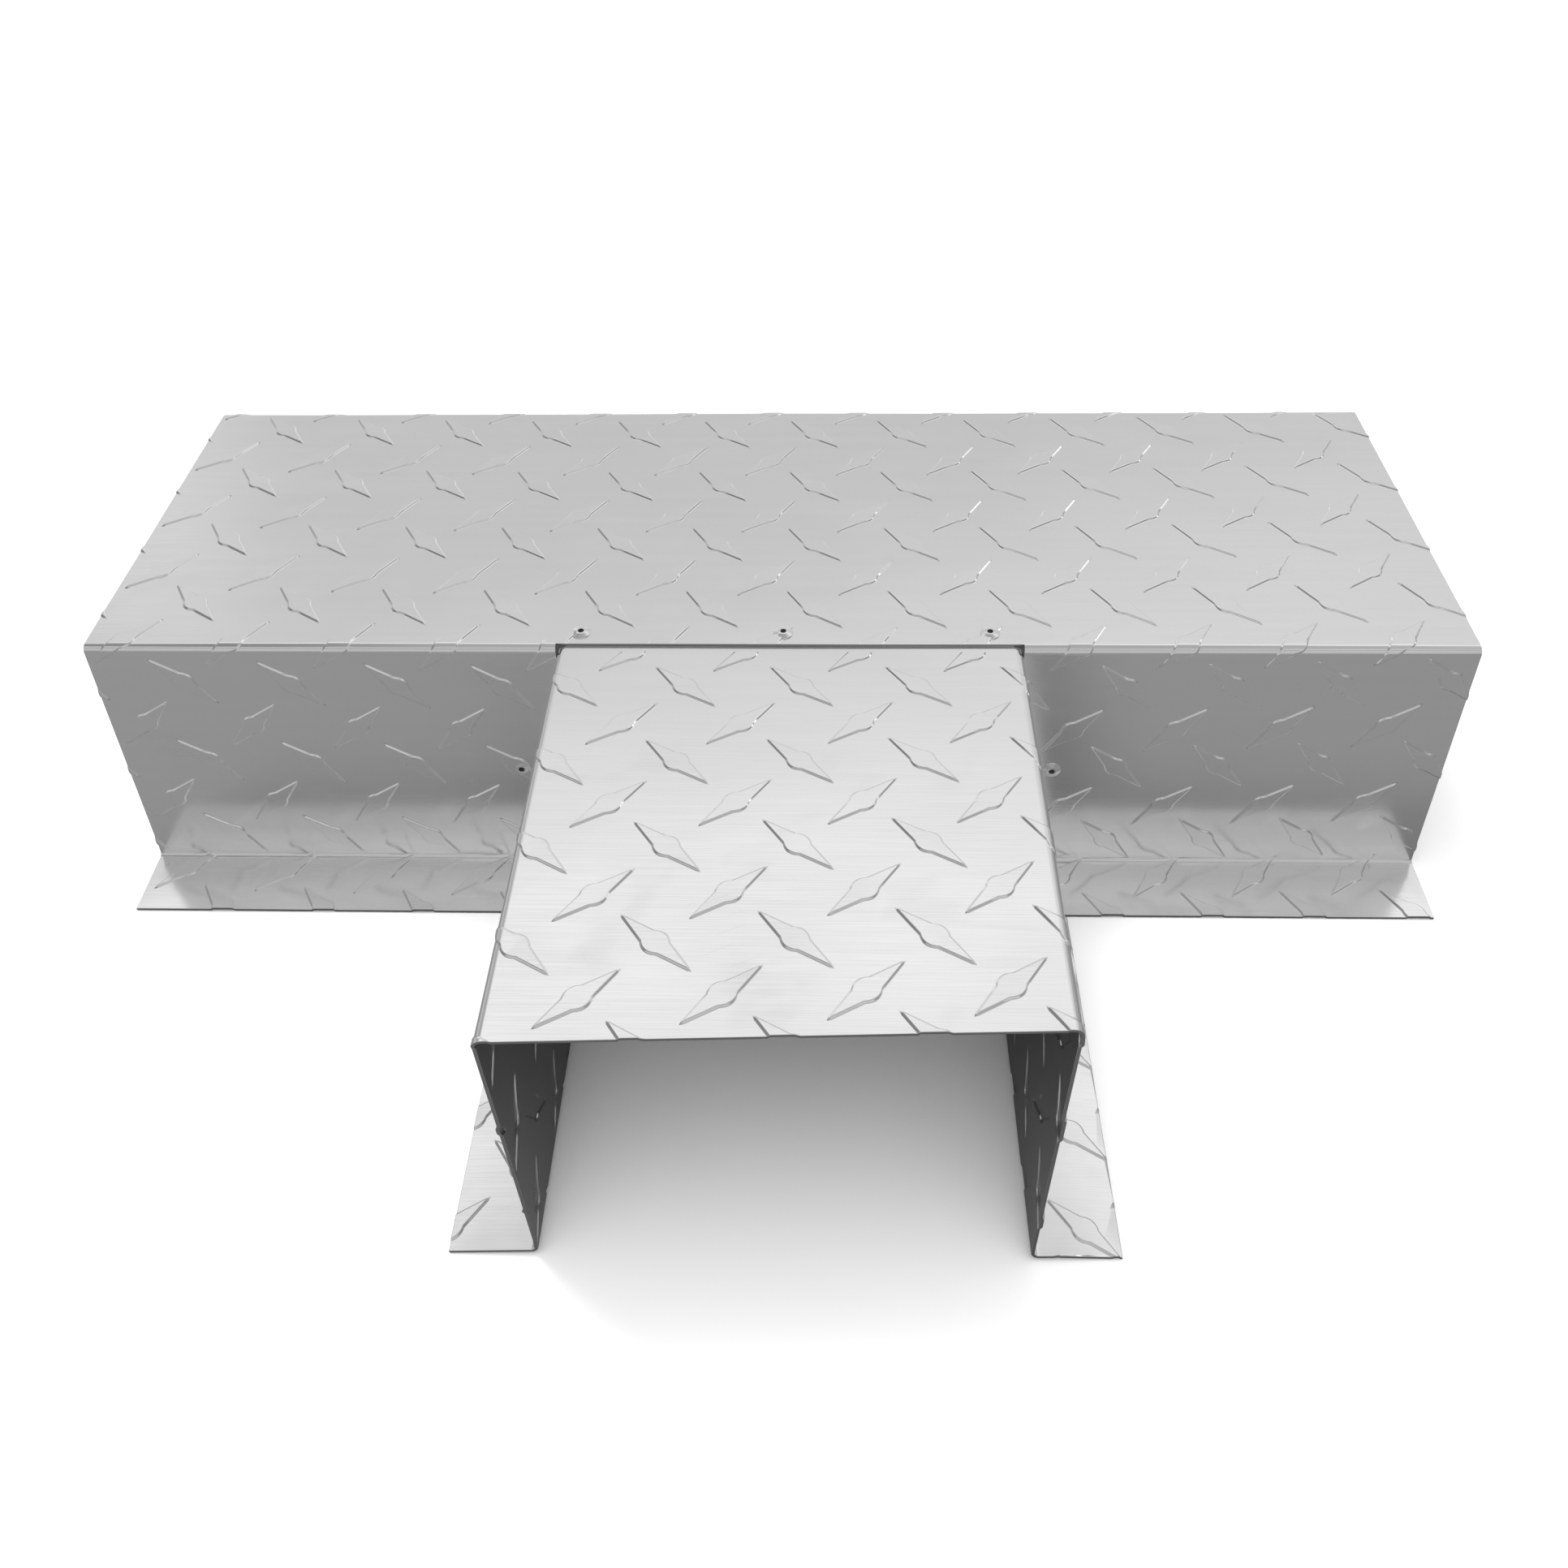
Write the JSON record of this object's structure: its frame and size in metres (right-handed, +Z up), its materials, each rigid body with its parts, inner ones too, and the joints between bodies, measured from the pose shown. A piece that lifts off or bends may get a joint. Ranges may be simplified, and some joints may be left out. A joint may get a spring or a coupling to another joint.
{
  "type": "tread plate tee cover",
  "caption": "Tee-shaped floor cover of bright tread-plate sheet: a long flanged channel with a shorter one joined to its front by tabs and blind rivets, open below and at the ends.",
  "frame": {"origin": "centre of the bounding box on the plane of the undersides of the flanges", "axes": "+X along the long cover, to the right seen from the stem's open end; -Y from the long cover towards the stem's open end; +Z up"},
  "size_m": [0.4572, 0.3208, 0.1027],
  "materials": {
    "tread_plate": "bright rolled, embossed with alternating diagonal lugs",
    "rivet": "plain, slightly dull",
    "mandrel": "dark broken steel"
  },
  "bodies": {
    "root": {"main_cover": "tread_plate", "stem_cover": "tread_plate", "top_left_rivet": "rivet", "top_left_mandrel": "mandrel", "top_middle_rivet": "rivet", "top_middle_mandrel": "mandrel", "top_right_rivet": "rivet", "top_right_mandrel": "mandrel", "wall_left_rivet": "rivet", "wall_left_mandrel": "mandrel", "wall_right_rivet": "rivet", "wall_right_mandrel": "mandrel"}
  },
  "joints": []
}
